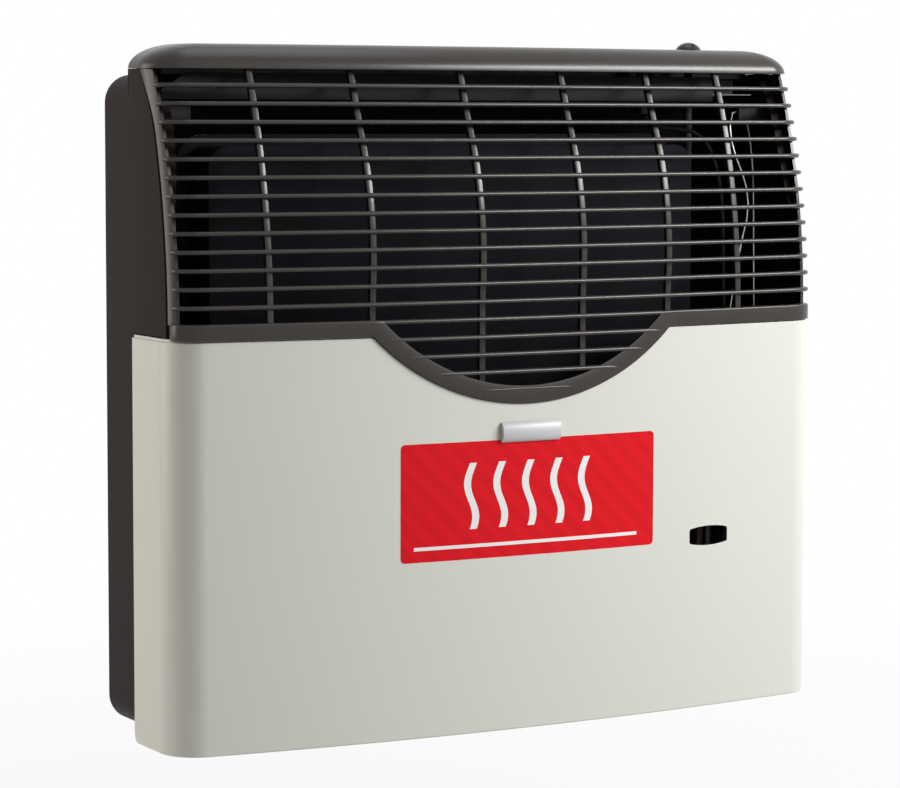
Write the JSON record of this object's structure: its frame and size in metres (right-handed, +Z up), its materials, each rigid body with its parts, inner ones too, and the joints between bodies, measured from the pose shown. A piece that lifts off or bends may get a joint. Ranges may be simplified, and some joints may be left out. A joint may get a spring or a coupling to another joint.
{
  "type": "wall mounted gas heater",
  "caption": "Wall mounted balanced-flue gas heater: bowed cream cover, dark bronze louvre grille and cap, sealed chamber, burner, gas valve with top knob, piezo igniter.",
  "frame": {"origin": "centre of the rear casing's back face, where it lies on the wall", "axes": "+X to the right seen from the room, +Y into the wall, +Z up; the front faces -Y"},
  "size_m": [0.681, 0.2243, 0.6306],
  "materials": {
    "cream_enamel": "semi-gloss cream stove enamel",
    "brown_enamel": "satin dark brown paint",
    "bronze_moulding": "semi-gloss dark bronze heat-resistant moulding",
    "silver_trim": "bright silver",
    "black_enamel": "blue-black heat-proof enamel",
    "dark_steel": "matt dark grey",
    "zinc_steel": "zinc-plated",
    "aluminium": "plain",
    "brass": "machined",
    "copper": "drawn, slightly dull",
    "black_plastic": "black, semi-gloss",
    "black_rubber": "silicone cable jacket",
    "ceramic": "glazed ceramic",
    "glass": "clear",
    "fibre": "woven mineral fibre rope"
  },
  "bodies": {
    "heater": {"front_cover": "cream_enamel", "rear_casing": "brown_enamel", "side_panel_left": "brown_enamel", "side_panel_right": "brown_enamel", "grille": "bronze_moulding", "top_cap": "bronze_moulding", "badge_plate": "silver_trim", "chamber_front_shell": "black_enamel", "chamber_rear_shell": "black_enamel", "heat_deflector": "dark_steel", "grille_bracket_left": "dark_steel", "grille_bracket_right": "dark_steel", "inner_baffle": "dark_steel", "burner_door": "dark_steel", "cover_bracket_left": "zinc_steel", "cover_bracket_right": "zinc_steel", "cover_screw_left": "zinc_steel", "cover_screw_right": "zinc_steel", "cap_screw_left": "zinc_steel", "cap_screw_right": "zinc_steel", "chamber_bracket_left": "zinc_steel", "chamber_bracket_right": "zinc_steel", "air_duct": "zinc_steel", "burner_door_screw_1": "zinc_steel", "burner_door_screw_2": "zinc_steel", "sight_glass_frame": "zinc_steel", "burner_tube": "zinc_steel", "burner_bracket_left": "zinc_steel", "burner_bracket_right": "zinc_steel", "pilot_bracket": "zinc_steel", "valve_bracket": "zinc_steel", "control_bracket": "zinc_steel", "gas_inlet_pipe": "zinc_steel", "capillary_tube": "zinc_steel", "bulb_clip": "zinc_steel", "air_spigot": "aluminium", "flue_pipe": "aluminium", "gas_valve_body": "aluminium", "manifold_pipe": "aluminium", "pilot_pipe": "aluminium", "injector_holder": "brass", "injector": "brass", "pilot_burner": "brass", "inlet_union_nut": "brass", "thermocouple": "copper", "thermocouple_lead": "copper", "thermostat_bulb": "copper", "control_bezel": "black_plastic", "piezo_igniter_body": "black_plastic", "piezo_nut": "black_plastic", "ignition_cable": "black_rubber", "spark_electrode": "ceramic", "sight_glass": "glass", "chamber_gasket": "fibre", "burner_door_gasket": "fibre"},
    "push_collar": {"valve_push_collar": "brass"},
    "knob": {"control_spindle": "dark_steel", "control_knob": "black_plastic"},
    "button": {"igniter_button": "black_plastic"}
  },
  "joints": [
    {"name": "knob_push", "type": "slide", "parent": "heater", "child": "push_collar", "axis": [0, 0, -1], "range_m": [0, 0.005], "stiffness_N_per_m": 1500, "springref_m": -0.003},
    {"name": "knob_turn", "type": "hinge", "parent": "push_collar", "child": "knob", "pos_m": [0.2344, -0.0856, 0.31925], "axis": [0, 0, 1], "range_deg": [0, 270]},
    {"name": "igniter_push", "type": "slide", "parent": "heater", "child": "button", "axis": [0, 0, -1], "range_m": [0, 0.005], "stiffness_N_per_m": 3000, "springref_m": -0.003}
  ]
}
